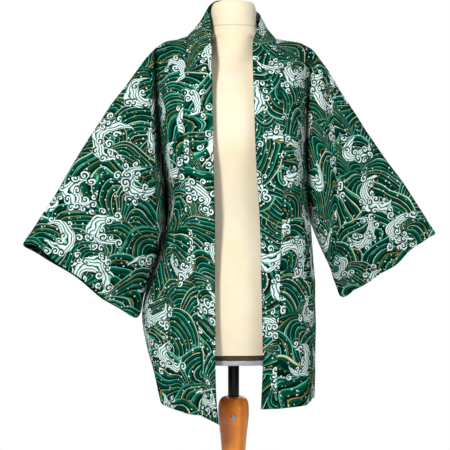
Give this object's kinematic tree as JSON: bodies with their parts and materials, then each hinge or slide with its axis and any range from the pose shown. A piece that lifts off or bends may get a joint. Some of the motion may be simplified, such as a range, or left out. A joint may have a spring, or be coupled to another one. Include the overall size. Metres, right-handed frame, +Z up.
{
  "type": "haori jacket on a limbless dress form with a turned wooden stand",
  "caption": "Open-fronted haori jacket with wide square sleeves and a long collar band, draped on a limbless dress form on a stand.",
  "frame": {"origin": "on the floor, under the middle of the whole object's bounding box, which lies within 4 mm of the post's axis", "axes": "+Z up, -Y the jacket's front, +X the wearer's left; X is the span from cuff to cuff, Y the shortest extent and Z the longest"},
  "size_m": [0.8897, 0.4428, 1.5166],
  "materials": {
    "wave_print": "smooth cotton with a printed green, white and gold wave pattern",
    "wave_print_band": "the same print, folded double",
    "cream_jersey": "fine matte jersey",
    "dark_binding": "dark olive tape",
    "pale_board": "pale lavender grey board",
    "black_tube": "gloss black",
    "orange_wood": "glossy honey orange varnish",
    "screw_steel": "plain steel"
  },
  "bodies": {
    "root": {"back": "wave_print", "front_left": "wave_print", "front_right": "wave_print", "sleeve_left": "wave_print", "sleeve_right": "wave_print", "collar": "wave_print_band", "form_torso": "cream_jersey", "form_binding": "dark_binding", "form_plate": "pale_board", "stand_tube": "black_tube", "stand_column": "orange_wood", "stand_screw": "screw_steel", "stand_leg_1": "orange_wood", "stand_leg_2": "orange_wood", "stand_leg_3": "orange_wood"}
  },
  "joints": []
}
